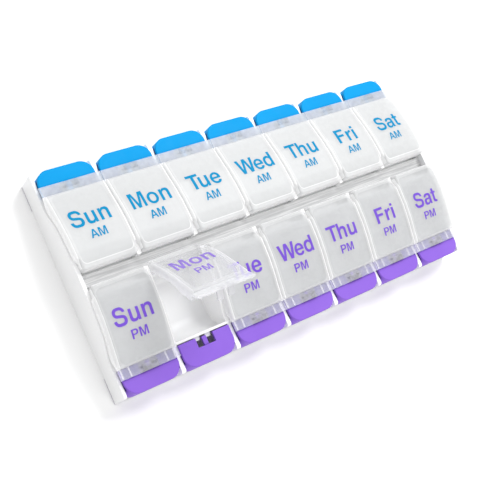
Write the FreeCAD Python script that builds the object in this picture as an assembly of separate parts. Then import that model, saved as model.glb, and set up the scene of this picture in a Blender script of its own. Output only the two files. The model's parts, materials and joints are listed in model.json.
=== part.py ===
import FreeCAD, Part
import math
import os

from FreeCAD import Vector

# Weekly pill organizer: seven day columns by two rows, in millimetres.
# X runs along the week, +Y towards the AM row, +Z up. The origin is on the table, under the tray's middle.

# ---- driving dimensions -------------------------------------------------------------------------

DAYS = ("sun", "mon", "tue", "wed", "thu", "fri", "sat")
OPEN_LID = ("mon", "pm")       # the one lid that stands open
OPEN_ANGLE = 60.0              # degrees

PITCH = 31.0                   # one day's column
DIVIDER = 2.2                  # wall between two columns
END_WALL = 1.7                 # wall at either end of the week
END_DRAFT = 0.7                # end wall's lean: the base is this much shorter at either end
FLOOR = 1.7                    # base plate
WALL = 1.2                     # walls inside the tray
CELL_OUTER = 39.6              # distance from the middle to the compartment's outer face
CELL_INNER = 8.1               # distance from the middle to the compartment's inner face
WELL_DEPTH = 12.8              # button well, from its wall to the tray's outer edge
SCOOP_R = 9.5                  # scoop between floor and outer wall
SCOOP_INNER_R = 3.0            # round between floor and inner wall
KERB = 1.4                     # thickness of the low kerb at the open side of the button wells
KERB_HEIGHT = 1.5

RIM_LOW = 14.1                 # rim height beside the buttons
RIM_TOP = 20.7                 # rim height beside the hinges
RIM = ((0.9, 0.0, 8.0), (0.655, 0.7, 10.0), (0.355, 0.925, 20.0), (0.19, 1.0, 0.0))
                               # corners of the rim line: share of the way to the compartment's outer
                               # face, share of the way from the low height to the top, round
RIM_END_R = 1.6                # round at the rim's outer end
FOOT_R = 0.5                   # round at the foot of the end walls

HINGE_Y = 6.0                  # distance from the middle to the hinge axis
HINGE_DOWN = 1.4               # hinge axis below the rim's top
BARREL_R = 1.6
BARREL_GAP = 0.3               # hinge barrel above the wall of the trough
PIN_R = 0.8
PIN_OUT = 0.7                  # how far a trunnion pin stands out of its lid
PIN_GAP = 0.05                 # radial play of a pin in its socket
SOCKET_END_GAP = 0.1           # play past the end of a pin

SIDE_GAP = 0.19                # play beside lids and buttons
LID_SHELL = 1.2
PAD_START = 3.4                # distance from the middle to the raised pad's hinge side
PAD_OVER_WELL = 0.4            # raised pad past the wall of the button well
PAD_PEAK = 3.6                 # highest place of the pad above the rim
PAD_CROWN = ((0.0, 0.965), (0.215, 1.0), (0.44, 0.875), (0.65, 0.605), (0.825, 0.285), (1.0, 0.0))
                               # crown of the pad: share of the way to its outer side, share of the
                               # way up from its outer side to its highest place
CROWN_R = 14.0                 # rounds along the pad's crown
PAD_START_R = 2.0              # pad's upright corners at its hinge side
PAD_END_R = 1.6                # pad's upright corners at its outer side
PAD_EDGE_R = 1.3               # round along the pad's top edge at its hinge side
SIDE_REACH = 1.1               # how far the pad reaches over the walls on both sides
SIDE_REACH_START = 7.8         # distance from the middle where it starts to widen
SIDE_REACH_RUN = 1.8           # and how much further out it has its full width
SIDE_REACH_R = 2.0
SIDE_REACH_GAP = 0.3           # pad above the walls' rim
POCKET_START = 8.0             # hollow under the pad, its distance from the middle
POCKET_R = 2.4                 # upright corners of that hollow
LIP_REACH = 5.2                # lip past the wall of the button well
LIP_DOWN = 1.1                 # lip's top below the pad's outer side
LIP_GAP = 0.7                  # lip above the button
LIP = 1.2
LIP_R = 0.4                    # round of the lip's outer edge
LIP_RIB = 0.7                  # width of the ribs under the lip
LIP_RIB_GAP = 0.3              # ribs above the button
LIP_RIB_OFFS = (9.5, 13.6)     # ribs' distances from the lid's middle
WELL_WALL_GAP = 0.9            # lip above the wall between compartment and button well
SKIRT_IN_RIM = 0.6             # how far a lid's side skirt dips below the rim
SKIRT_END_GAP = 0.6            # lid skirt to the wall of the button well
SKIRT_R = 0.5

BUTTON_TOP = 15.7
BUTTON_GAP = 0.5               # button to the wall of its well
BUTTON_CORNER_R = 6.4
BUTTON_SHELL = 1.3
BUTTON_EDGE_R = 0.5
BUTTON_OVERHANG = 0.1          # button past the tray's outer edge
TRAVEL = 1.6                   # button stroke
KERB_GAP = 0.4                 # pressed button above the kerb
NOTCH_DEPTH = 4.6              # notch in the button for the lid's legs
NOTCH_PLAY = 0.3               # play beside the catches, to the notch's sides and to the tongue
TONGUE_DROP = 0.5              # top of the tongue in the notch below the button's top
TONGUE_END_GAP = 0.3
LUG_WIDTH = 2.0                # guide lug on a button's side
LUG_HEIGHT = 1.6
LUG_OUT = 0.6
LUG_UP = 3.0                   # lug above the lower edge of the button
LUG_IN = 4.2                   # middle of the lug past the wall of the button well
SLOT_GAP = 0.2                 # play beside a lug in its slot
SLOT_END_GAP = 0.12            # play past a lug's stroke

LEG_WIDTH = 2.9                # latch legs under the lip
LEG_THICKNESS = 1.0
LEG_OFF = 3.0                  # leg's distance from the lid's middle
LEG_IN = 2.4                   # inner face of the legs past the wall of the button well
BARB = 0.45
BARB_HEIGHT = 1.0
LATCH_PLAY = 0.4               # barb below its catch
CATCH_GAP = 0.12               # barb to the catch's nose
CATCH_DOWN = 1.5               # catch below the top of the wall it stands on
CATCH_HEIGHT = 1.2
CATCH_WIDTH = 3.1

SPRING_R = 2.0                 # coil radius at the wire's middle
SPRING_WIRE_R = 0.25
SPRING_TURNS = 6.0
SPRING_TOP_GAP = 0.15          # spring's end to the button at rest
PEG_R = 1.25                   # spring pegs on the tray and on the button
TRAY_PEG = 2.5
BUTTON_PEG = 2.0

STRIP_HALF = 3.0               # half width of the hinge cover strip
STRIP_DOWN = 3.9               # strip's top below the rim's top
STRIP_THICKNESS = 0.9
STRIP_R = 0.4
STRIP_WEB = 1.2                # thickness of the strip's web
STRIP_WEB_DOWN = 2.0           # web below the strip's plate
STRIP_FLOOR_GAP = 0.7          # web's slot above the floor of the trough
STRIP_GAP = 0.05               # play of the plate and its web in their slots
STRIP_END_GAP = 0.15           # strip to the end walls

# ---- places worked out from them ----------------------------------------------------------------

INNER_LENGTH = len(DAYS) * PITCH - DIVIDER        # between the end walls
HALF_LENGTH = INNER_LENGTH / 2 + END_WALL
CELL_WIDTH = PITCH - DIVIDER
BODY_WIDTH = CELL_WIDTH - 2 * SIDE_GAP            # lids and buttons between two dividers
WELL_INNER = CELL_OUTER + WALL                    # button well's inner face
HALF_DEPTH = WELL_INNER + WELL_DEPTH              # tray's middle to its outer edge
LIP_UNDER = BUTTON_TOP + LIP_GAP
LIP_TOP = LIP_UNDER + LIP
LIP_END = WELL_INNER + LIP_REACH
PAD_END = WELL_INNER + PAD_OVER_WELL
PAD_END_TOP = LIP_TOP + LIP_DOWN
HINGE_Z = RIM_TOP - HINGE_DOWN
TROUGH_WALL_TOP = HINGE_Z - BARREL_R - BARREL_GAP
STRIP_UNDER = RIM_TOP - STRIP_DOWN - STRIP_THICKNESS
SLOT_FLOOR = STRIP_UNDER - STRIP_WEB_DOWN         # bottom of the slots for the strip's web
TROUGH_FLOOR_TOP = SLOT_FLOOR - STRIP_FLOOR_GAP
WELL_WALL_TOP = LIP_UNDER - WELL_WALL_GAP
CATCH_TOP = WELL_WALL_TOP - CATCH_DOWN
CATCH_UNDER = CATCH_TOP - CATCH_HEIGHT
LEG_Y = WELL_INNER + LEG_IN
LEG_Z = CATCH_UNDER - LATCH_PLAY - BARB_HEIGHT    # lower end of the legs
KERB_TOP = FLOOR + KERB_HEIGHT
BUTTON_SKIRT_Z = KERB_TOP + KERB_GAP + TRAVEL     # lower edge of a released button
BUTTON_INNER = WELL_INNER + BUTTON_GAP
BUTTON_OUTER = HALF_DEPTH + BUTTON_OVERHANG
NOTCH_WIDTH = 2 * LEG_OFF + CATCH_WIDTH + 2 * NOTCH_PLAY
TONGUE_WIDTH = 2 * LEG_OFF - CATCH_WIDTH - 2 * NOTCH_PLAY
LUG_Y = WELL_INNER + LUG_IN
LUG_Z = BUTTON_SKIRT_Z + LUG_UP + LUG_HEIGHT / 2  # middle of the lug at rest
SPRING_Y = (BUTTON_INNER + NOTCH_DEPTH + BUTTON_OUTER - BUTTON_SHELL) / 2
OVERLAP = 0.3                                     # how far joined shapes reach into each other
FAR = 4 * HALF_DEPTH                              # further than anything in the part


def column_x(day):
    """Middle of a day's column."""
    return (DAYS.index(day) - (len(DAYS) - 1) / 2) * PITCH


# ---- shapes -------------------------------------------------------------------------------------

def rounded_face(corners, lying=False):
    """Flat face across Y and Z, or lying across X and Y. A corner is two places and, if round, a radius."""
    points = [Vector(c[0], c[1], 0) if lying else Vector(0, c[0], c[1]) for c in corners]
    radii = [c[2] if len(c) > 2 else 0 for c in corners]
    count = len(points)
    starts, ends, middles = [], [], []
    for i, here in enumerate(points):
        to_last = (points[i - 1] - here).normalize()
        to_next = (points[(i + 1) % count] - here).normalize()
        half = to_last.getAngle(to_next) / 2
        reach = radii[i] / math.tan(half) if radii[i] else 0
        starts.append(here + to_last * reach)
        ends.append(here + to_next * reach)
        inward = (to_last + to_next).normalize()
        middles.append(here + inward * (radii[i] / math.sin(half) - radii[i]))
    edges = []
    for i in range(count):
        if radii[i]:
            edges.append(Part.Arc(starts[i], middles[i], ends[i]).toShape())
        after = (i + 1) % count
        if (ends[i] - starts[after]).Length > 1e-6:
            edges.append(Part.LineSegment(ends[i], starts[after]).toShape())
    return Part.Face(Part.Wire(edges))


def bar(corners, x0, x1):
    """Solid bar along X between x0 and x1 with the given outline across Y and Z."""
    solid = rounded_face(corners).extrude(Vector(x1 - x0, 0, 0))
    solid.translate(Vector(x0, 0, 0))
    return solid


def column(corners, z0, z1):
    """Upright solid between z0 and z1 with the given outline seen from above."""
    solid = rounded_face(corners, lying=True).extrude(Vector(0, 0, z1 - z0))
    solid.translate(Vector(0, 0, z0))
    return solid


def block(x0, x1, y0, y1, z0, z1):
    """Box between two corners."""
    return Part.makeBox(x1 - x0, y1 - y0, z1 - z0, Vector(x0, y0, z0))


def rod(x0, x1, y, z, radius):
    """Round rod along X."""
    return Part.makeCylinder(radius, x1 - x0, Vector(x0, y, z), Vector(1, 0, 0))


def other_row(shape):
    """The same shape in the PM row: mirrored in the plane Y = 0."""
    return shape.mirror(Vector(0, 0, 0), Vector(0, 1, 0))


def rim_line(lowered=0.0):
    """Corners of the rim line from the outer side to the middle, on the AM side."""
    return [(CELL_OUTER * y, RIM_LOW + (RIM_TOP - RIM_LOW) * z - lowered, r) for y, z, r in RIM]


def crown_line(lowered=0.0):
    """Corners of the pad's crown from its hinge side outwards, on the AM side."""
    depth, rise = PAD_END - PAD_START, RIM_TOP + PAD_PEAK - PAD_END_TOP
    return [(PAD_START + depth * y, PAD_END_TOP + rise * z - lowered, CROWN_R if 0 < y < 1 else 0)
            for y, z in PAD_CROWN]


# ---- tray ---------------------------------------------------------------------------------------

def tray_blank():
    """The tray before anything is cut: the end walls' outline, right through, with leaning ends."""
    outline = [(-HALF_DEPTH, 0, FOOT_R), (HALF_DEPTH, 0, FOOT_R), (HALF_DEPTH, RIM_LOW, RIM_END_R)]
    outline += rim_line()
    outline += [(-y, z, r) for y, z, r in reversed(rim_line())]
    outline += [(-HALF_DEPTH, RIM_LOW, RIM_END_R)]
    foot = HALF_LENGTH - END_DRAFT
    corners = [(foot, 0), (HALF_LENGTH, RIM_TOP), (-HALF_LENGTH, RIM_TOP), (-foot, 0), (foot, 0)]
    front = Part.Face(Part.makePolygon([Vector(x, -HALF_DEPTH, z) for x, z in corners]))
    return bar(outline, -HALF_LENGTH, HALF_LENGTH).common(front.extrude(Vector(0, 2 * HALF_DEPTH, 0)))


def cell_cuts(x):
    """Compartment, button well, half the hinge trough and its core below, for one AM cell."""
    x0, x1 = x - CELL_WIDTH / 2, x + CELL_WIDTH / 2
    cell = bar([(CELL_INNER, FLOOR, SCOOP_INNER_R), (CELL_OUTER, FLOOR, SCOOP_R),
                (CELL_OUTER, FAR), (CELL_INNER, FAR)], x0, x1)
    well = block(x0, x1, WELL_INNER, FAR, FLOOR, FAR)
    trough_half = CELL_INNER - WALL
    trough = block(x0, x1, -OVERLAP, trough_half, TROUGH_FLOOR_TOP, FAR)
    wall_gap = block(x0, x1, trough_half - OVERLAP, CELL_INNER + OVERLAP, TROUGH_WALL_TOP, FAR)
    core = block(x0, x1, -OVERLAP, trough_half, -OVERLAP, TROUGH_FLOOR_TOP - WALL)
    return [cell, well, trough, wall_gap, core]


def cell_adds(x):
    """What stands in one AM cell of the tray: wall of the well, kerb, catches and spring peg."""
    x0, x1 = x - CELL_WIDTH / 2, x + CELL_WIDTH / 2
    wall = block(x0, x1, CELL_OUTER, WELL_INNER, RIM_LOW - OVERLAP, WELL_WALL_TOP)
    kerb = block(x0, x1, HALF_DEPTH - KERB, HALF_DEPTH, FLOOR - OVERLAP, KERB_TOP)
    peg = Part.makeCylinder(PEG_R, TRAY_PEG + OVERLAP, Vector(x, SPRING_Y, FLOOR - OVERLAP))
    foot = WELL_INNER - OVERLAP
    nose = LEG_Y - BARB - CATCH_GAP
    catch = [(foot, CATCH_UNDER), (nose, CATCH_UNDER), (nose, CATCH_UNDER + CATCH_HEIGHT / 2),
             (WELL_INNER, CATCH_TOP), (foot, CATCH_TOP)]
    catches = [bar(catch, x + side * LEG_OFF - CATCH_WIDTH / 2, x + side * LEG_OFF + CATCH_WIDTH / 2)
               for side in (-1, 1)]
    return [wall, kerb, peg] + catches


def socket_cuts(x):
    """Trunnion sockets and guide slots on both sides of one AM cell."""
    cuts = []
    for side in (-1, 1):
        face = x + side * CELL_WIDTH / 2
        x0, x1 = sorted((face - side * OVERLAP, face + side * (PIN_OUT - SIDE_GAP + SOCKET_END_GAP)))
        cuts.append(rod(x0, x1, HINGE_Y, HINGE_Z, PIN_R + PIN_GAP))
        x0, x1 = sorted((face - side * OVERLAP, face + side * (LUG_OUT - SIDE_GAP + SOCKET_END_GAP)))
        half_width, half_height = LUG_WIDTH / 2 + SLOT_GAP, LUG_HEIGHT / 2 + SLOT_END_GAP
        cuts.append(block(x0, x1, LUG_Y - half_width, LUG_Y + half_width,
                          LUG_Z - half_height - TRAVEL, LUG_Z + half_height))
    return cuts


def strip_seat():
    """Seat across the dividers for the hinge cover strip: a notch for its plate, a slot for its web."""
    seat = []
    for half_width, bottom in ((STRIP_HALF, STRIP_UNDER), (STRIP_WEB / 2, SLOT_FLOOR)):
        reach = half_width + STRIP_GAP
        seat.append(block(-INNER_LENGTH / 2, INNER_LENGTH / 2, -reach, reach, bottom, FAR))
    return seat


def make_tray():
    cuts, adds, sockets = [], [], []
    for day in DAYS:
        x = column_x(day)
        for move in (lambda shape: shape, other_row):
            cuts += [move(shape) for shape in cell_cuts(x)]
            adds += [move(shape) for shape in cell_adds(x)]
            sockets += [move(shape) for shape in socket_cuts(x)]
    tray = tray_blank().cut(cuts)
    tray = tray.fuse(adds)
    tray = tray.cut(sockets + strip_seat())
    return tray.removeSplitter()


# ---- lids ---------------------------------------------------------------------------------------

def pad_block():
    """Raised pad with its side skirts, still solid, with its top edge rounded all round."""
    half, wide = BODY_WIDTH / 2, BODY_WIDTH / 2 + SIDE_REACH
    right = [(half, PAD_START, PAD_START_R), (half, SIDE_REACH_START, SIDE_REACH_R),
             (wide, SIDE_REACH_START + SIDE_REACH_RUN, SIDE_REACH_R), (wide, PAD_END, PAD_END_R)]
    from_above = column(right + [(-x, y, r) for x, y, r in reversed(right)], 0, FAR)
    foot = [(PAD_END, LIP_UNDER), (CELL_OUTER, LIP_UNDER)] + rim_line(-SIDE_REACH_GAP)
    foot += [(PAD_START, RIM_TOP + SIDE_REACH_GAP)]
    pad = bar(crown_line() + foot, -wide, wide).common(from_above)
    pad = pad.makeFillet(PAD_EDGE_R, [e for e in pad.Edges if is_nose_top(e)])
    skirt_end = CELL_OUTER - SKIRT_END_GAP
    skirt = [(HINGE_Y, HINGE_Z), (PAD_START, HINGE_Z)] + crown_line(PAD_EDGE_R + OVERLAP)[:-1]
    skirt += [(skirt_end, LIP_UNDER + OVERLAP), (skirt_end, RIM_LOW - SKIRT_IN_RIM, SKIRT_R)]
    return pad.fuse(bar(skirt + rim_line(SKIRT_IN_RIM), -half, half).common(from_above))


def is_nose_top(edge):
    """True for the straight top edge at the pad's hinge side."""
    box = edge.BoundBox
    top = crown_line()[0][1]
    return box.YMax < PAD_START + 1e-6 and box.ZMin > top - 1e-3 and box.XLength > BODY_WIDTH / 2


def make_lid():
    """One closed lid of the AM row, about X = 0."""
    half = BODY_WIDTH / 2
    under = crown_line(LID_SHELL)
    inside = bar([(PAD_START, 0)] + under + [(PAD_END, 0)], -half, half)
    side, end = half - LID_SHELL, PAD_END - LID_SHELL
    hollow = inside.common(column([(-side, POCKET_START, POCKET_R), (side, POCKET_START, POCKET_R),
                                   (side, end, POCKET_R), (-side, end, POCKET_R)], 0, FAR))
    lip = bar([(PAD_END - LID_SHELL, LIP_UNDER), (PAD_END - LID_SHELL, LIP_TOP), (LIP_END, LIP_TOP, LIP_R),
               (LIP_END, LIP_UNDER, LIP_R / 2)], -half - SIDE_REACH, half + SIDE_REACH)
    adds = [lip, rod(-half, half, HINGE_Y, HINGE_Z, BARREL_R),
            rod(-half - PIN_OUT, half + PIN_OUT, HINGE_Y, HINGE_Z, PIN_R)]
    for side in (-1, 1):
        adds.append(latch_leg(side * LEG_OFF))
        adds += [lip_rib(side * off) for off in LIP_RIB_OFFS]
    return pad_block().cut(hollow).fuse(adds).removeSplitter()


def latch_leg(x):
    """Leg under the lip with a barb that points back at the catch."""
    top, outer = LIP_UNDER + OVERLAP, LEG_Y + LEG_THICKNESS
    return bar([(LEG_Y, top), (LEG_Y, LEG_Z + BARB_HEIGHT), (LEG_Y - BARB, LEG_Z + BARB_HEIGHT / 2),
                (LEG_Y, LEG_Z), (outer, LEG_Z), (outer, top)], x - LEG_WIDTH / 2, x + LEG_WIDTH / 2)


def lip_rib(x):
    """Low rib under the lip, across it."""
    return block(x - LIP_RIB / 2, x + LIP_RIB / 2, PAD_END - LID_SHELL, LIP_END - LIP_R,
                 BUTTON_TOP + LIP_RIB_GAP, LIP_UNDER + OVERLAP)


# ---- buttons ------------------------------------------------------------------------------------

def cap_outline(inset):
    """Corners of a button seen from above: square at the lid's side, round at the outer side."""
    half = BODY_WIDTH / 2 - inset
    outer = BUTTON_OUTER - inset
    radius = BUTTON_CORNER_R - inset
    return [(-half, BUTTON_INNER), (half, BUTTON_INNER), (half, outer, radius), (-half, outer, radius)]


def make_button():
    """One released button of the AM row, about X = 0."""
    half = BODY_WIDTH / 2
    inside = half - BUTTON_SHELL
    under = BUTTON_TOP - BUTTON_SHELL
    cap = column(cap_outline(0), BUTTON_SKIRT_Z, BUTTON_TOP)
    cap = cap.makeFillet(BUTTON_EDGE_R, [e for e in cap.Edges if on_cap_rim(e)])
    hollow = column(cap_outline(BUTTON_SHELL), 0, under)
    mouth = block(-inside, inside, BUTTON_INNER - OVERLAP, BUTTON_INNER + OVERLAP, 0, under)
    notch_end = BUTTON_INNER + NOTCH_DEPTH
    notch = block(-NOTCH_WIDTH / 2, NOTCH_WIDTH / 2, BUTTON_INNER - OVERLAP, notch_end, 0, FAR)
    tongue_top = BUTTON_TOP - TONGUE_DROP
    tongue = block(-TONGUE_WIDTH / 2, TONGUE_WIDTH / 2, BUTTON_INNER + TONGUE_END_GAP,
                   notch_end + OVERLAP, tongue_top - BUTTON_SHELL, tongue_top)
    peg = Part.makeCylinder(PEG_R, BUTTON_PEG + OVERLAP, Vector(0, SPRING_Y, under - BUTTON_PEG))
    lugs = block(-half - LUG_OUT, half + LUG_OUT, LUG_Y - LUG_WIDTH / 2, LUG_Y + LUG_WIDTH / 2,
                 LUG_Z - LUG_HEIGHT / 2, LUG_Z + LUG_HEIGHT / 2).cut(hollow)
    return cap.cut([hollow, mouth, notch]).fuse([tongue, peg, lugs]).removeSplitter()


def on_cap_rim(edge):
    """True for an edge round the button's top, except at the lid's side."""
    box = edge.BoundBox
    return box.ZMin > BUTTON_TOP - 1e-3 and box.YMax > BUTTON_INNER + 1e-3


# ---- springs and hinge cover strip --------------------------------------------------------------

def make_spring():
    """Return spring between the tray and one button of the AM row, about X = 0."""
    bottom = FLOOR + SPRING_WIRE_R
    top = BUTTON_TOP - BUTTON_SHELL - SPRING_TOP_GAP - SPRING_WIRE_R
    path = Part.Wire(Part.makeHelix((top - bottom) / SPRING_TURNS, top - bottom, SPRING_R).Edges)
    start = Part.Wire(Part.makeCircle(SPRING_WIRE_R, Vector(SPRING_R, 0, 0), Vector(0, 1, 0)).Edges)
    coil = path.makePipeShell([start], True, True)
    coil.translate(Vector(0, SPRING_Y, bottom))
    return coil


def make_strip():
    """Clear strip over the hinge trough, with a web that sits in slots in the dividers."""
    half_length = INNER_LENGTH / 2 - STRIP_END_GAP
    top = STRIP_UNDER + STRIP_THICKNESS
    plate = bar([(-STRIP_HALF, STRIP_UNDER), (STRIP_HALF, STRIP_UNDER), (STRIP_HALF, top, STRIP_R),
                 (-STRIP_HALF, top, STRIP_R)], -half_length, half_length)
    web = block(-half_length, half_length, -STRIP_WEB / 2, STRIP_WEB / 2, SLOT_FLOOR + STRIP_GAP,
                STRIP_UNDER + OVERLAP)
    return plate.fuse(web).removeSplitter()


# ---- assembly -----------------------------------------------------------------------------------

def place(shape, day, row):
    """The piece in its own column and row."""
    placed = shape.copy() if row == "am" else other_row(shape)
    placed.translate(Vector(column_x(day), 0, 0))
    return placed


def main():
    os.makedirs("parts", exist_ok=True)
    nodes = {"tray": make_tray(), "hinge_cover_strip": make_strip()}
    lid, button, spring = make_lid(), make_button(), make_spring()
    for day in DAYS:
        for row in ("am", "pm"):
            nodes[f"lid_{day}_{row}"] = place(lid, day, row)
            nodes[f"button_{day}_{row}"] = place(button, day, row)
            nodes[f"spring_{day}_{row}"] = place(spring, day, row)
    open_day, open_row = OPEN_LID
    side = 1 if open_row == "am" else -1
    open_lid = nodes[f"lid_{open_day}_{open_row}"]
    open_lid.rotate(Vector(0, side * HINGE_Y, HINGE_Z), Vector(side, 0, 0), OPEN_ANGLE)
    for name, shape in nodes.items():
        print(f"{name}: {len(shape.Solids)} solid, valid {shape.isValid()}, {shape.Volume / 1000:.2f} cm3")
        shape.exportStep(f"parts/{name}.step")


main()
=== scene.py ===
"""Weekly pill organizer with a white tray, clear lids and coloured push buttons, dressed for rendering."""

import json
import math

import bpy
from mathutils import Matrix, Vector


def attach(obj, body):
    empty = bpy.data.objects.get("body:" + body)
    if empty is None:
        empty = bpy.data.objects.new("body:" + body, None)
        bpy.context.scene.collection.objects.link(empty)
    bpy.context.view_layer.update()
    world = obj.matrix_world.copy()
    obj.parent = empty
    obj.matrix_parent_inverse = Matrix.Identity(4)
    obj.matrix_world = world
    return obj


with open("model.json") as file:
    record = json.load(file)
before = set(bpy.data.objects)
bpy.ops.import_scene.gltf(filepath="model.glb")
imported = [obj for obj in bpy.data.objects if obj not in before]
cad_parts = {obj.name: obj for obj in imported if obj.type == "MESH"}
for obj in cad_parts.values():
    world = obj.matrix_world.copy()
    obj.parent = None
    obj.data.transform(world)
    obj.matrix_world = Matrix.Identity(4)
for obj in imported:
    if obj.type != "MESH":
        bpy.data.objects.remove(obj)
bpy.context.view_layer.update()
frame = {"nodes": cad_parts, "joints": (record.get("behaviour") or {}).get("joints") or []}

DAYS = ("Sun", "Mon", "Tue", "Wed", "Thu", "Fri", "Sat")
ROWS = ("AM", "PM")

hinges = {joint["child"]: joint for joint in frame["joints"] if joint["type"] == "hinge"}
PITCH = hinges["lid_mon_am"]["pos_m"][0] - hinges["lid_sun_am"]["pos_m"][0]     # from one day to the next

# One lid stands open at rest: its joint has a range below rest, which shuts it.
OPEN_LID = next(lid for lid, hinge in hinges.items() if hinge["range_deg"][0] < 0)
OPEN_ANGLE = -math.radians(hinges[OPEN_LID]["range_deg"][0])
OPEN_AXIS = Vector(hinges[OPEN_LID]["axis"])
OPEN_HINGE = Vector((0, *hinges[OPEN_LID]["pos_m"][1:]))        # as if in the middle column

# Zones of the finishes, in metres: across a closed lid from its middle, outwards from the strip, and up.
WINDOW_HALF = 0.0129             # the hollow under each lid, seen as a window
WINDOW_START, WINDOW_END = 0.0060, 0.0400
WINDOW_ROUND = 0.0024
WINDOW_BLEND = (-0.0002, 0.0004)     # past the window's edge: from the pane's finish to the rim's
LINE_BLEND = (0.00006, 0.00036)      # off the window's edge: from the painted edge line (a highlight or a dark line) to none
LINE_FADES = (0.0076, 0.0104)        # outwards: the painted edge line weakens
NOSE_BLEND = (0.00345, 0.00395)      # outwards: from the nose's painted highlight line to the rest
# Lid sides past this across are painted near white: painted light in the gaps between the lids
SIDE_START = 0.0141
LIP_START = 0.0412
UNDER_TOP, RIBS_TOP = 0.0170, 0.01635      # below the lip's top, and below its under side (the ribs, painted as a highlight)
LEG_MIDDLE, LEG_HALF = 0.0030, 0.0017      # across: the two latch legs, painted grey as painted shade
HOOK_HALF, HOOK_START = 0.0037, 0.0428     # across and outwards: the lip over the latch, with patches of painted shade
WALL_HALF = 0.0014               # half of a wall between two lids, with its rounded edges: light is painted on the tray there
WALLS_END = 3.4 * PITCH          # along the week: the end walls are past this


# ---- camera, floor and lights -------------------------------------------------------------------

CAMERA_PLACE = (-0.2613, -0.05716, 0.38353)
CAMERA_TURN = (20.6621, -27.06538, -27.57841)        # degrees
CAMERA_LENS, CAMERA_SENSOR = 68.354, 36              # mm
TABLE_SHADE = 0.96
ROOM_LIGHT = 0.755
LAMP_AIM = Vector((0, 0, 0.01))


def set_up_camera():
    bpy.ops.object.camera_add(location=CAMERA_PLACE, rotation=tuple(map(math.radians, CAMERA_TURN)))
    camera = bpy.context.object
    camera.name = "camera"
    camera.data.sensor_width = CAMERA_SENSOR
    camera.data.lens = CAMERA_LENS
    camera.data.clip_start = 0.01
    bpy.context.scene.camera = camera


def set_up_studio():
    """White table, an even white room, a soft lamp beyond the Saturday end and two weak ones."""
    bpy.ops.mesh.primitive_plane_add(size=6)
    table = bpy.context.object
    table.name = "table"
    table.data.materials.append(table_white())
    world = bpy.data.worlds.new("room")
    world.use_nodes = True
    sky = world.node_tree.nodes["Background"]
    sky.inputs["Color"].default_value = (1, 1, 1, 1)
    sky.inputs["Strength"].default_value = ROOM_LIGHT
    bpy.context.scene.world = world
    add_lamp("key lamp", (0.68, 0.56, 1.1), size=0.7, power=12.5)
    add_lamp("fill lamp", (0.1, -0.9, 1.0), size=0.8, power=4.0)
    add_lamp("end lamp", (-0.7, 0.7, 0.8), size=0.8, power=1.2)
    bpy.context.scene.view_settings.view_transform = "Standard"


def add_lamp(name, place, size, power):
    bpy.ops.object.light_add(type="AREA", location=place)
    lamp = bpy.context.object
    lamp.name = name
    lamp.data.shape = "DISK"
    lamp.data.size = size
    lamp.data.energy = power
    lamp.rotation_euler = (Vector(place) - LAMP_AIM).to_track_quat("Z", "Y").to_euler()


# ---- steps that materials are made of ---------------------------------------------------------------

def new_material(name, shader):
    """Material with one shader node, and the tree that it is in."""
    made = bpy.data.materials.new(name)
    made.use_nodes = True
    tree = made.node_tree
    tree.nodes.clear()
    out = tree.nodes.new("ShaderNodeOutputMaterial")
    skin = tree.nodes.new(shader)
    tree.links.new(skin.outputs[0], out.inputs["Surface"])
    return made, tree, skin


def feed(tree, way_in, value):
    """Gives a socket an output, a number or a colour. A number on a colour socket is a grey."""
    if isinstance(value, bpy.types.NodeSocket):
        tree.links.new(value, way_in)
    elif way_in.type == "RGBA":
        way_in.default_value = (*as_colour(value), 1)
    else:
        way_in.default_value = value


def as_colour(value):
    return value if isinstance(value, tuple) else (value, value, value)


def own_place(tree):
    """Place on the piece in its own coordinates, in metres."""
    return tree.nodes.new("ShaderNodeTexCoord").outputs["Object"]


def split_axes(tree, place):
    split = tree.nodes.new("ShaderNodeSeparateXYZ")
    feed(tree, split.inputs[0], place)
    return split.outputs["X"], split.outputs["Y"], split.outputs["Z"]


def maths(tree, operation, *values):
    """One step of arithmetic on outputs and numbers."""
    made = tree.nodes.new("ShaderNodeMath")
    made.operation = operation
    for way_in, value in zip(made.inputs, values):
        feed(tree, way_in, value)
    return made.outputs[0]


def how_far(tree, value, place=0.0):
    """Distance of a coordinate from a place, to either side."""
    return maths(tree, "ABSOLUTE", maths(tree, "SUBTRACT", value, place))


def from_column(tree, x, shift=0.0):
    """How far X is from the middle of its day's column, or from a place shifted from each middle."""
    columns_below = len(DAYS) / 2
    along = maths(tree, "MODULO", maths(tree, "ADD", x, columns_below * PITCH + shift), PITCH)
    return maths(tree, "SUBTRACT", along, PITCH / 2)


def fade(tree, value, start, end, first, last):
    """The first value up to the start, the last from the end on, and an even change between."""
    made = tree.nodes.new("ShaderNodeMapRange")
    names = ("Value", "From Min", "From Max", "To Min", "To Max")
    for name, given in zip(names, (value, start, end, first, last)):
        feed(tree, made.inputs[name], given)
    return made.outputs["Result"]


def blend(tree, share, first, second):
    """Mixes two colours or greys by the share of the second."""
    made = tree.nodes.new("ShaderNodeMix")
    made.data_type = "RGBA"
    factor, colour_a, colour_b = made.inputs[0], made.inputs[6], made.inputs[7]
    for way_in, value in ((factor, share), (colour_a, first), (colour_b, second)):
        feed(tree, way_in, value)
    return made.outputs[2]


def noise(tree, scale, detail=3.0, stretch=(1, 1, 1)):
    """Noise on the piece's own coordinates. Scale is in waves to the metre."""
    stretched = tree.nodes.new("ShaderNodeMapping")
    stretched.inputs["Scale"].default_value = stretch
    feed(tree, stretched.inputs["Vector"], own_place(tree))
    grain = tree.nodes.new("ShaderNodeTexNoise")
    grain.inputs["Scale"].default_value = scale
    grain.inputs["Detail"].default_value = detail
    feed(tree, grain.inputs["Vector"], stretched.outputs["Vector"])
    return grain.outputs["Fac"]


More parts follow.
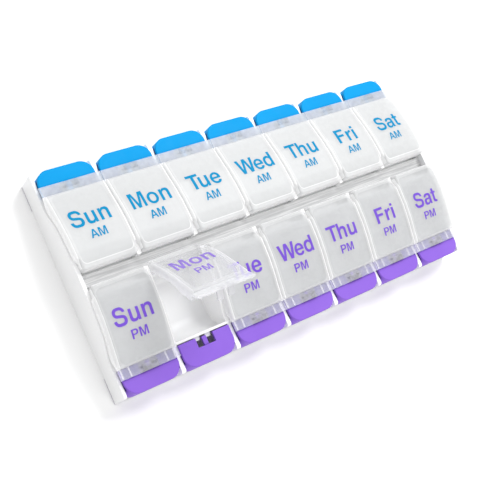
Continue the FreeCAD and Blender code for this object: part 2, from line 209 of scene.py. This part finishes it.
def ramp(tree, source, stops):
    """Colours or greys over a source from 0 to 1."""
    made = tree.nodes.new("ShaderNodeValToRGB")
    bar = made.color_ramp.elements
    while len(bar) < len(stops):
        bar.new(0.5)
    for element, (place, colour) in zip(bar, stops):
        element.position = place
        element.color = (*as_colour(colour), 1)
    feed(tree, made.inputs["Fac"], source)
    return made.outputs["Color"]


def bump(tree, height, depth, under=None):
    """Surface relief of the given depth in metres."""
    made = tree.nodes.new("ShaderNodeBump")
    made.inputs["Distance"].default_value = depth
    made.inputs["Strength"].default_value = 1.0
    feed(tree, made.inputs["Height"], height)
    if under:
        feed(tree, made.inputs["Normal"], under)
    return made.outputs["Normal"]


# ---- opaque materials -------------------------------------------------------------------------------

PLASTIC_IOR = 1.49
CREVICE_REACH = 0.0012           # gaps about this narrow count as crevices and get painted shade


def table_white():
    made, tree, skin = new_material("table white", "ShaderNodeBsdfDiffuse")
    feed(tree, skin.inputs["Color"], TABLE_SHADE)
    return made


def moulded_plastic(name, dark, light, rough, crevice_shade, gloss_level=0.5, sss=0.0, crevices_from=0.0,
                    walls=None):
    """Satin injection-moulded plastic: slight cloudiness in the colour, fine spark grain, soft flow waves.
    Narrow gaps farther than crevices_from from the strip get painted shade: ambient occlusion darkens the
    colour there towards crevice_shade. The tops of the walls between the lids can be painted lighter, as
    painted light in their shaded gaps."""
    made, tree, skin = new_material(name, "ShaderNodeBsdfPrincipled")
    skin.inputs["IOR"].default_value = PLASTIC_IOR
    skin.inputs["Specular IOR Level"].default_value = gloss_level
    if sss:
        skin.inputs["Subsurface Weight"].default_value = sss
        skin.inputs["Subsurface Radius"].default_value = (0.0012, 0.0012, 0.0013)
        skin.inputs["Subsurface Scale"].default_value = 1.0
    colour = ramp(tree, noise(tree, 45, 4), [(0.3, dark), (0.7, light)])
    # painted light: the walls between the lids and the trough are made whiter against their shade
    if walls:
        colour = blend(tree, painted_light_zone(tree), colour, walls)
    # painted shade: ambient occlusion darkens narrow gaps towards crevice_shade
    nook = tree.nodes.new("ShaderNodeAmbientOcclusion")
    nook.samples = 8
    nook.inputs["Distance"].default_value = CREVICE_REACH
    open_air = ramp(tree, nook.outputs["AO"], [(0.52, 0.0), (0.84, 1.0)])
    y = split_axes(tree, own_place(tree))[1]
    inside = maths(tree, "LESS_THAN", how_far(tree, y), crevices_from)
    colour = blend(tree, maths(tree, "MAXIMUM", open_air, inside), crevice_shade, colour)
    feed(tree, skin.inputs["Base Color"], colour)
    gloss = ramp(tree, noise(tree, 260, 5), [(0.3, rough - 0.05), (0.7, rough + 0.05)])
    feed(tree, skin.inputs["Roughness"], gloss)
    waves = bump(tree, noise(tree, 90, 2), 0.00008)
    feed(tree, skin.inputs["Normal"], bump(tree, noise(tree, 3200, 2), 0.000012, waves))
    return made


def painted_light_zone(tree):
    """Where light is painted: 1 on the walls between lids and in the hinge trough, 0 elsewhere."""
    x, y, _ = split_axes(tree, own_place(tree))
    on_wall = maths(tree, "LESS_THAN", how_far(tree, from_column(tree, x, PITCH / 2)), WALL_HALF)
    in_trough = maths(tree, "LESS_THAN", how_far(tree, y), WINDOW_START)
    between_ends = maths(tree, "LESS_THAN", how_far(tree, x), WALLS_END)
    return maths(tree, "MULTIPLY", maths(tree, "MAXIMUM", on_wall, in_trough), between_ends)


def tray_white():
    # painted shade in the button wells' crevices, and painted light on the walls between the lids and in
    # the trough
    return moulded_plastic("tray white", dark=(0.815, 0.818, 0.822), light=(0.84, 0.84, 0.843), rough=0.36,
                           crevice_shade=(0.12, 0.11, 0.2), sss=0.12, crevices_from=LIP_START,
                           walls=(0.97, 0.97, 0.97))


def button_blue():
    # painted shade: navy in the crevices round the button
    return moulded_plastic("button blue", dark=(0.0, 0.29, 0.66), light=(0.001, 0.31, 0.69),
                           rough=0.45, crevice_shade=(0.0, 0.03, 0.22), gloss_level=0.06)


def button_purple():
    # painted shade: dark violet in the crevices round the button
    return moulded_plastic("button purple", dark=(0.24, 0.117, 0.60), light=(0.265, 0.132, 0.63),
                           rough=0.45, crevice_shade=(0.02, 0.005, 0.17), gloss_level=0.08)


def printing_ink(name, colour, gloss_level):
    """Opaque printed ink, a little thinner in places."""
    made, tree, skin = new_material(name, "ShaderNodeBsdfPrincipled")
    skin.inputs["Specular IOR Level"].default_value = gloss_level
    thin = tuple(c * 1.1 for c in colour)
    feed(tree, skin.inputs["Base Color"], ramp(tree, noise(tree, 900, 4), [(0.35, colour), (0.8, thin)]))
    feed(tree, skin.inputs["Roughness"], ramp(tree, noise(tree, 1500, 3), [(0.3, 0.38), (0.7, 0.5)]))
    return made


def spring_steel():
    made, tree, skin = new_material("spring steel", "ShaderNodeBsdfPrincipled")
    skin.inputs["Metallic"].default_value = 1.0
    colour = ramp(tree, noise(tree, 700, 4), [(0.3, (0.5, 0.5, 0.52)), (0.7, (0.68, 0.68, 0.7))])
    feed(tree, skin.inputs["Base Color"], colour)
    feed(tree, skin.inputs["Roughness"], ramp(tree, noise(tree, 2500, 3), [(0.3, 0.22), (0.7, 0.38)]))
    return made


# ---- clear plastic ----------------------------------------------------------------------------------

MILK_SHARE = 0.2                 # how much of the milk lets light on to the far side
SLANT_GAIN = 0.12                # clear plastic at a slant is this much denser
STRIP_PAINTED_SPAN = (0.0005, 0.0025)   # Y over which light is painted on the strip towards the AM lids, against their shadow
STRIP_PAINTED_LIGHT = 0.85


def milky(tree, mix, colour, density, rough):
    """Makes a mix shader clear plastic with some milk in it. Density is how much of the light it keeps."""
    skin = tree.nodes.new("ShaderNodeBsdfPrincipled")
    skin.inputs["IOR"].default_value = PLASTIC_IOR
    skin.inputs["Specular IOR Level"].default_value = 0.25
    feed(tree, skin.inputs["Base Color"], colour)
    gloss = ramp(tree, noise(tree, 300, 5), [(0.3, rough - 0.04), (0.7, rough + 0.05)])
    feed(tree, skin.inputs["Roughness"], gloss)
    waves = bump(tree, noise(tree, 100, 2), 0.00005)
    feed(tree, skin.inputs["Normal"], waves)
    glow = tree.nodes.new("ShaderNodeBsdfTranslucent")
    feed(tree, glow.inputs["Color"], colour)
    milk = tree.nodes.new("ShaderNodeMixShader")
    milk.inputs["Fac"].default_value = MILK_SHARE
    feed(tree, milk.inputs[1], skin.outputs[0])
    feed(tree, milk.inputs[2], glow.outputs[0])
    facing = tree.nodes.new("ShaderNodeLayerWeight")
    facing.inputs["Blend"].default_value = 0.35
    feed(tree, facing.inputs["Normal"], waves)
    slant = maths(tree, "MULTIPLY", facing.outputs["Facing"], SLANT_GAIN)
    feed(tree, mix.inputs["Fac"], maths(tree, "ADD", density, slant))
    feed(tree, mix.inputs[1], tree.nodes.new("ShaderNodeBsdfTransparent").outputs[0])
    feed(tree, mix.inputs[2], milk.outputs[0])


def clear_strip():
    """Strip plastic: light and dark streaks that run along it; light painted on its AM side, in the AM
    lids' shadow.
    """
    made, tree, mix = new_material("clear strip", "ShaderNodeMixShader")
    streaks = noise(tree, 1500, 3, (0.03, 1, 0.3))
    streaky = ramp(tree, streaks, [(0.36, (0.76, 0.765, 0.77)), (0.5, (0.82, 0.825, 0.83)), (0.62, 0.92)])
    # painted light: the strip is whitened towards the AM side, where the AM lids cast their shadow
    lighter = fade(tree, split_axes(tree, own_place(tree))[1], *STRIP_PAINTED_SPAN, 0.0, STRIP_PAINTED_LIGHT)
    density = ramp(tree, streaks, [(0.4, 0.72), (0.66, 0.92)])
    milky(tree, mix, blend(tree, lighter, streaky, 1.0), density, rough=0.2)
    return made


def turned_shut(tree, place):
    """Where a place on the open lid lies when that lid is shut."""
    turn = Matrix.Rotation(-OPEN_ANGLE, 3, OPEN_AXIS)
    shut = tree.nodes.new("ShaderNodeMapping")
    shut.inputs["Rotation"].default_value = turn.to_euler()
    shut.inputs["Location"].default_value = OPEN_HINGE - turn @ OPEN_HINGE
    feed(tree, shut.inputs["Vector"], place)
    return shut.outputs["Vector"]


def past_window(tree, from_middle, outwards):
    """Distance past the edge of a lid's window, a rectangle with rounded corners. It is negative inside."""
    middle, half = (WINDOW_START + WINDOW_END) / 2, (WINDOW_END - WINDOW_START) / 2
    past_side = maths(tree, "SUBTRACT", from_middle, WINDOW_HALF - WINDOW_ROUND)
    past_end = maths(tree, "SUBTRACT", how_far(tree, outwards, middle), half - WINDOW_ROUND)
    squares = [maths(tree, "POWER", maths(tree, "MAXIMUM", past, 0.0), 2.0)
               for past in (past_side, past_end)]
    reach = maths(tree, "SQRT", maths(tree, "ADD", *squares))
    return maths(tree, "SUBTRACT", reach, WINDOW_ROUND)


def clear_lid(name, pane, edge, edge_kept, rim, side, lip, nose, legs, ribs, opened=False):
    """Lid plastic. Each finish is a colour and a density, for the window's pane, its edge line, the rim
    round it, the lid's sides, the lip, the nose at the hinge side, and the latch legs and ribs under the
    lip. The share edge_kept of the edge line is left away from the hinge. The edge line is a painted
    highlight on the AM and open lids and a painted dark line on the PM lids, the nose is a painted
    highlight line, the near-white sides are painted light in the gaps between lids, the ribs get a
    painted highlight, and the grey latch legs and the grey patches on the lip over them are painted shade."""
    made, tree, mix = new_material(name, "ShaderNodeMixShader")
    place = turned_shut(tree, own_place(tree)) if opened else own_place(tree)
    x, y, height = split_axes(tree, place)
    from_middle = how_far(tree, from_column(tree, x))
    outwards = how_far(tree, y)
    past = past_window(tree, from_middle, outwards)
    on_rim = fade(tree, past, *WINDOW_BLEND, 0.0, 1.0)
    on_painted_line = maths(tree, "MULTIPLY", fade(tree, how_far(tree, past), *LINE_BLEND, 1.0, 0.0),
                    fade(tree, outwards, *LINE_FADES, 1.0, edge_kept))
    at_side = maths(tree, "GREATER_THAN", from_middle, SIDE_START)
    at_nose = fade(tree, outwards, *NOSE_BLEND, 1.0, 0.0)
    at_lip = maths(tree, "GREATER_THAN", outwards, LIP_START)
    under_top = maths(tree, "LESS_THAN", height, UNDER_TOP)
    at_ribs = maths(tree, "LESS_THAN", height, RIBS_TOP)
    at_legs = maths(tree, "LESS_THAN", how_far(tree, from_middle, LEG_MIDDLE), LEG_HALF)
    cloudy = ramp(tree, noise(tree, 330, 3), [(0.35, 0.0), (0.65, 1.0)])
    # painted shade: grey patches on the lip over the latch
    by_hook = maths(tree, "MULTIPLY", maths(tree, "LESS_THAN", from_middle, HOOK_HALF),
                    maths(tree, "GREATER_THAN", outwards, HOOK_START))
    patchy = ramp(tree, noise(tree, 700, 2), [(0.38, 0.3), (0.58, 1.0)])
    painted_shade_over_hook = maths(tree, "MULTIPLY", by_hook, patchy)
    colour_and_density = []
    for part in (0, 1):
        cloud = tuple(min(1.0, 1.08 * c) for c in as_colour(lip[part]))
        flat = blend(tree, on_painted_line, blend(tree, on_rim, pane[part], rim[part]), edge[part])
        flat = blend(tree, at_nose, blend(tree, at_side, flat, side[part]), nose[part])
        lip_top = blend(tree, painted_shade_over_hook, blend(tree, cloudy, lip[part], cloud), legs[part])
        latch = blend(tree, at_legs, blend(tree, at_ribs, lip_top, ribs[part]), legs[part])
        outer = blend(tree, under_top, lip_top, latch)
        colour_and_density.append(blend(tree, at_lip, flat, outer))
    milky(tree, mix, *colour_and_density, rough=0.27)
    return made


def clear_lids():
    """The AM lids are painted lighter and milkier than the PM lids: painted light and shade for the two
    rows, which slope towards and away from the lamps. The one that stands open is clearer.
    """
    # painted light: the AM copy is lighter, for the row that slopes towards the lamps
    am = clear_lid("clear lid AM", edge_kept=0.12,
                   pane=((0.835, 0.845, 0.85), 0.58), edge=(1.0, 0.7),
                   rim=((0.87, 0.875, 0.88), 0.62), side=(1.0, 0.85),
                   lip=((0.76, 0.80, 0.85), 0.43), nose=(1.0, 0.55),
                   legs=((0.58, 0.62, 0.68), 0.5), ribs=((0.9, 0.9, 0.95), 0.6))
    # painted shade: the PM copy is greyer, for the row that slopes away from the lamps
    pm = clear_lid("clear lid PM", edge_kept=0.7,
                   pane=((0.785, 0.795, 0.805), 0.42), edge=((0.55, 0.56, 0.57), 0.6),
                   rim=((0.84, 0.845, 0.85), 0.5), side=(1.0, 0.75),
                   lip=((0.84, 0.83, 1.0), 0.27), nose=(1.0, 0.85),
                   legs=((0.38, 0.38, 0.40), 0.8), ribs=(1.0, 0.95))
    standing = clear_lid("clear lid open", edge_kept=0.5,
                         pane=((0.70, 0.705, 0.72), 0.22), edge=((0.95, 0.95, 0.96), 0.45),
                         rim=((0.78, 0.785, 0.80), 0.34), side=((0.93, 0.93, 0.95), 0.45),
                         lip=((0.84, 0.845, 0.86), 0.36), nose=(1.0, 0.55),
                         legs=((0.72, 0.72, 0.74), 0.4), ribs=((0.95, 0.95, 0.97), 0.45), opened=True)
    return am, pm, standing


def finish_nodes():
    """Every CAD piece gets its finish."""
    lid_am, lid_pm, lid_standing = clear_lids()
    finishes = {"tray": tray_white(), "hinge_cover_strip": clear_strip(), "spring": spring_steel(),
                "lid am": lid_am, "lid pm": lid_pm, OPEN_LID: lid_standing,
                "button am": button_blue(), "button pm": button_purple()}
    for name, node in frame["nodes"].items():
        kind, row = name.split("_")[0], name[-2:]
        key = next(k for k in (name, kind, f"{kind} {row}") if k in finishes)
        for place in node.material_slots:
            place.material = finishes[key]


# ---- printed words ------------------------------------------------------------------------------

# Letters by their outlines: how far each moves the next one on, then its loops. A corner is two places and,
# if round, a radius.
CAPITAL = 72                     # height of a capital in the outlines' own units
LETTERS = {
    "S": (66.7, [[(60, 50), (60, 73.5, 24), (4.5, 73.5, 22), (4.5, 36.5, 20), (48, 27.5, 8),
                  (48, 10.7, 10), (14, 10.7, 12), (14, 24), (1, 24), (1, -1.5, 24), (61.5, -1.5, 22),
                  (61.5, 36.5, 20), (17.5, 46, 8), (17.5, 61.3, 10), (47.5, 61.3, 11), (47.5, 50)]]),
    "u": (61.1, [[(6.5, 53), (6.5, -1.2, 15), (36, -1.2, 11), (41.5, 7), (41.5, 0), (54, 0), (54, 53),
                  (40.8, 53), (40.8, 10.2, 12), (19.7, 10.2, 8), (19.7, 53)]]),
    "n": (61.1, [[(54.5, 0), (54.5, 54.2, 15), (25, 54.2, 11), (19.5, 46), (19.5, 53), (7, 53), (7, 0),
                  (20.2, 0), (20.2, 42.8, 12), (41.3, 42.8, 8), (41.3, 0)]]),
    "M": (83.3, [[(7, 0), (7, 72), (27, 72), (41.6, 19), (56.3, 72), (76.3, 72), (76.3, 0), (63.8, 0),
                  (63.8, 59), (48.2, 0), (35.1, 0), (19.5, 59), (19.5, 0)]]),
    "o": (61.1, [[(3.6, -1.2, 27), (57.4, -1.2, 27), (57.4, 54.2, 27), (3.6, 54.2, 27)],
                 [(17, 10, 13), (44, 10, 13), (44, 43, 13), (17, 43, 13)]]),
    "T": (56.0, [[(1.5, 72), (1.5, 60), (23.5, 60), (23.5, 0), (37.5, 0), (37.5, 60), (59.5, 60),
                  (59.5, 72)]]),
    "e": (55.6, [[(53, 22.5), (16.3, 22.5), (16.3, 9.3, 12), (37, 9.3, 6), (39, 16), (52.3, 14),
                  (48, -1.2, 17), (3, -1.2, 27), (3, 54.2, 27), (53.5, 54.2, 25)],
                 [(16.5, 31.5), (16.5, 43.8, 11), (39.5, 43.8, 11), (39.5, 31.5)]]),
    "W": (90.0, [[(0.5, 72), (15.3, 72), (25.8, 20), (38.9, 72), (55, 72), (68, 20), (78.6, 72), (93, 72),
                  (76, 0), (60.5, 0), (47, 53), (33.2, 0), (17.6, 0)]]),
    "d": (61.1, [[(54, 0), (54, 72), (40.6, 72), (40.6, 47), (35, 54.2, 9), (3.5, 54.2, 25),
                  (3.5, -1.2, 25), (36, -1.2, 9), (41.6, 6.5), (41.6, 0)],
                 [(17, 9.8, 13), (40.8, 9.8, 13), (40.8, 43, 13), (17, 43, 13)]]),
    "h": (61.1, [[(54.5, 0), (54.5, 54.2, 15), (26, 54.2, 11), (20.2, 46.5), (20.2, 72), (7, 72), (7, 0),
                  (20.2, 0), (20.2, 42.8, 12), (41.3, 42.8, 8), (41.3, 0)]]),
    "F": (59.5, [[(7.5, 0), (7.5, 72), (56.5, 72), (56.5, 60), (21.8, 60), (21.8, 43.3), (51.8, 43.3),
                  (51.8, 31.4), (21.8, 31.4), (21.8, 0)]]),
    "r": (38.9, [[(7, 0), (7, 53), (19.6, 53), (19.6, 44.5), (27, 54, 9), (38, 54), (38, 41.6),
                  (20.3, 41.6, 13), (20.3, 0)]]),
    "i": (27.8, [[(7.2, 0), (7.2, 53), (20.6, 53), (20.6, 0)],
                 [(7.2, 60), (7.2, 72), (20.6, 72), (20.6, 60)]]),
    "a": (55.6, [[(4.4, 37.5), (4.4, 54.2, 17), (49.8, 54.2, 15), (49.8, 6), (52.7, 0), (38.8, 0),
                  (37.4, 6.5), (30, -1.2, 9), (3, -1.2, 14), (3, 31.8, 14), (36.6, 31.8, 4),
                  (36.6, 44, 8), (17.5, 44, 8), (16.5, 37.5)],
                 [(16.2, 8.6, 8), (36.6, 8.6, 11), (36.6, 23.6), (16.2, 23.6, 8)]]),
    "t": (33.3, [[(1.5, 53), (1.5, 43.2), (8.6, 43.2), (8.6, -0.7, 12), (31.6, -0.7), (31.6, 10),
                  (22, 10, 4), (22, 43.2), (31.6, 43.2), (31.6, 53), (22, 53), (22, 68), (8.6, 68),
                  (8.6, 53)]]),
}
LIGHT_CAPITALS = {
    "A": (66.7, [[(0, 0), (26, 72), (41, 72), (67, 0), (52.6, 0), (46.9, 17), (20, 17), (14.2, 0)],
                 [(23.9, 28), (33.5, 57), (43, 28)]]),
    "M": (83.3, [[(6.5, 0), (6.5, 72), (25.5, 72), (41.6, 17), (57.8, 72), (76.8, 72), (76.8, 0),
                  (64.4, 0), (64.4, 56), (47.8, 0), (35.5, 0), (18.9, 56), (18.9, 0)]]),
    "P": (66.7, [[(7.5, 0), (7.5, 72), (63, 72, 21), (63, 27, 21), (21.5, 27), (21.5, 0)],
                 [(21.5, 38), (49, 38, 11), (49, 61, 11), (21.5, 61)]]),
}
CLOSER = {"Tu": 9, "We": 3}      # pairs that stand closer
ARC_STEP = 15                    # degrees between the points of a rounded corner

# Places of the words on a closed lid, in mm: across from its middle, and base lines along Y.
DAY_SPANS = {"Sun": (-10.4, 9.2), "Mon": (-10.5, 10.5), "Tue": (-9.4, 8.8), "Wed": (-10.8, 10.6),
             "Thu": (-9.9, 9.2), "Fri": (-6.8, 6.4), "Sat": (-8.6, 8.2)}
ROW_SPAN = (-4.3, 4.0)
DAY_BASE = {"AM": 22.5, "PM": -24.5}
ROW_BASE = {"AM": 15.8, "PM": -31.5}
DAY_HEIGHT, ROW_HEIGHT = 8.0, 4.1
DROP_FROM = 0.04                 # height over the table that words are laid on their lid from, in metres
BAND = 0.0015                    # words are cut in bands this wide, to follow the lid's curve
INK_LIFT, INK_THICKNESS = 0.00004, 0.00006


def round_off(corners):
    """Points of a loop with its corners rounded, each as far as its neighbours leave room."""
    points = []
    radii = [c[2] if len(c) > 2 else 0 for c in corners]
    places = [Vector(c[:2]) for c in corners]
    for i, here in enumerate(places):
        last, after = i - 1, (i + 1) % len(places)
        if not radii[i]:
            points.append(here)
            continue
        back, on = places[last] - here, places[after] - here
        half = back.angle(on) / 2
        room = [way.length * radii[i] / (radii[i] + radii[n]) for way, n in ((back, last), (on, after))]
        reach = min(radii[i] / math.tan(half), *room)
        radius = reach * math.tan(half)
        start, end = back.normalized() * reach, on.normalized() * reach
        middle = (start + end).normalized() * radius / math.sin(half)
        turn = (start - middle).angle_signed(end - middle)
        steps = max(2, round(abs(math.degrees(turn)) / ARC_STEP))
        for k in range(steps + 1):
            spoke = start - middle
            spoke.rotate(Matrix.Rotation(-turn * k / steps, 2))
            points.append(here + middle + spoke)
    return points


def flat_word(text, letters, span, base, height):
    """Word lying flat, set between its two ends on its base line, with capitals of the given height. The
    sizes are in mm."""
    curve = bpy.data.curves.new(text, "CURVE")
    curve.dimensions = "2D"
    curve.fill_mode = "BOTH"
    along, last = 0.0, ""
    for letter in text:
        along -= CLOSER.get(last + letter, 0)
        last = letter
        width, loops = letters[letter]
        for loop in loops:
            points = round_off(loop)
            outline = curve.splines.new("POLY")
            outline.points.add(len(points) - 1)
            for point, (x, y) in zip(outline.points, points):
                point.co = (along + x, y, 0, 1)
            outline.use_cyclic_u = True
        along += width
    word = bpy.data.objects.new(text, curve)
    bpy.context.scene.collection.objects.link(word)
    bpy.ops.object.select_all(action="DESELECT")
    word.select_set(True)
    bpy.context.view_layer.objects.active = word
    bpy.ops.object.convert(target="MESH")
    word = bpy.context.object
    low, high = Vector(word.bound_box[0]), Vector(word.bound_box[6])
    left, right, base, height = (value / 1000 for value in (*span, base, height))
    grow = Matrix.Diagonal(((right - left) / (high.x - low.x), height / CAPITAL, 1, 1))
    to_place = Matrix.Translation((left, base, DROP_FROM))
    word.data.transform(to_place @ grow @ Matrix.Translation((-low.x, 0, 0)))
    return word


def cut_in_bands(piece):
    """Cuts a flat piece in bands that run along X, so that it can follow a curve."""
    bpy.ops.object.select_all(action="DESELECT")
    piece.select_set(True)
    bpy.context.view_layer.objects.active = piece
    low, high = piece.bound_box[0][1], piece.bound_box[6][1]
    bpy.ops.object.mode_set(mode="EDIT")
    place = low + BAND
    while place < high:
        bpy.ops.mesh.select_all(action="SELECT")
        bpy.ops.mesh.bisect(plane_co=(0, place, 0), plane_no=(0, 1, 0))
        place += BAND
    bpy.ops.object.mode_set(mode="OBJECT")


def print_on_lid(piece, lid):
    """Lays a flat piece on a closed lid of the middle column, as a thin skin of ink."""
    drape = piece.modifiers.new("lay on lid", "SHRINKWRAP")
    drape.target = lid
    drape.wrap_method = "PROJECT"
    drape.use_project_x = drape.use_project_y = False
    drape.use_project_z = True
    drape.use_negative_direction = True
    drape.use_positive_direction = False
    drape.offset = INK_LIFT
    bpy.ops.object.modifier_apply(modifier=drape.name)
    skin = piece.modifiers.new("ink", "SOLIDIFY")
    skin.thickness = INK_THICKNESS
    skin.offset = -1
    bpy.ops.object.modifier_apply(modifier=skin.name)


def move_to_column(piece, day, lid):
    """From the middle column to its own, and round the hinge with the lid that stands open."""
    middle_day = len(DAYS) // 2
    place = Matrix.Translation(((DAYS.index(day) - middle_day) * PITCH, 0, 0))
    if lid == OPEN_LID:
        hinge = Matrix.Translation(OPEN_HINGE)
        place = place @ hinge @ Matrix.Rotation(OPEN_ANGLE, 4, OPEN_AXIS) @ hinge.inverted()
    piece.data.transform(place)


def print_words():
    """A day and a row on every lid, made on the middle column's lids and moved to their own."""
    inks = {"AM": printing_ink("blue ink", (0.005, 0.235, 0.455), 0.05),
            "PM": printing_ink("purple ink", (0.165, 0.08, 0.52), 0.05)}
    # painted reflection: the ink on the open lid is lighter, for the glare on it at its slant
    open_ink_with_painted_glare = printing_ink("purple ink on the open lid", (0.24, 0.16, 0.56), 0.25)
    for row in ROWS:
        middle_lid = frame["nodes"][f"lid_wed_{row.lower()}"]
        for day in DAYS:
            lid = f"lid_{day.lower()}_{row.lower()}"
            big = flat_word(day, LETTERS, DAY_SPANS[day], DAY_BASE[row], DAY_HEIGHT)
            small = flat_word(row, LIGHT_CAPITALS, ROW_SPAN, ROW_BASE[row], ROW_HEIGHT)
            bpy.ops.object.select_all(action="DESELECT")
            big.select_set(True)
            small.select_set(True)
            bpy.context.view_layer.objects.active = big
            bpy.ops.object.join()
            words = bpy.context.object
            words.name = lid.replace("lid", "words")
            cut_in_bands(words)
            print_on_lid(words, middle_lid)
            move_to_column(words, day, lid)
            words.data.materials.clear()
            words.data.materials.append(open_ink_with_painted_glare if lid == OPEN_LID else inks[row])
            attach(words, lid)


set_up_camera()
set_up_studio()
finish_nodes()
print_words()

bpy.context.view_layer.update()
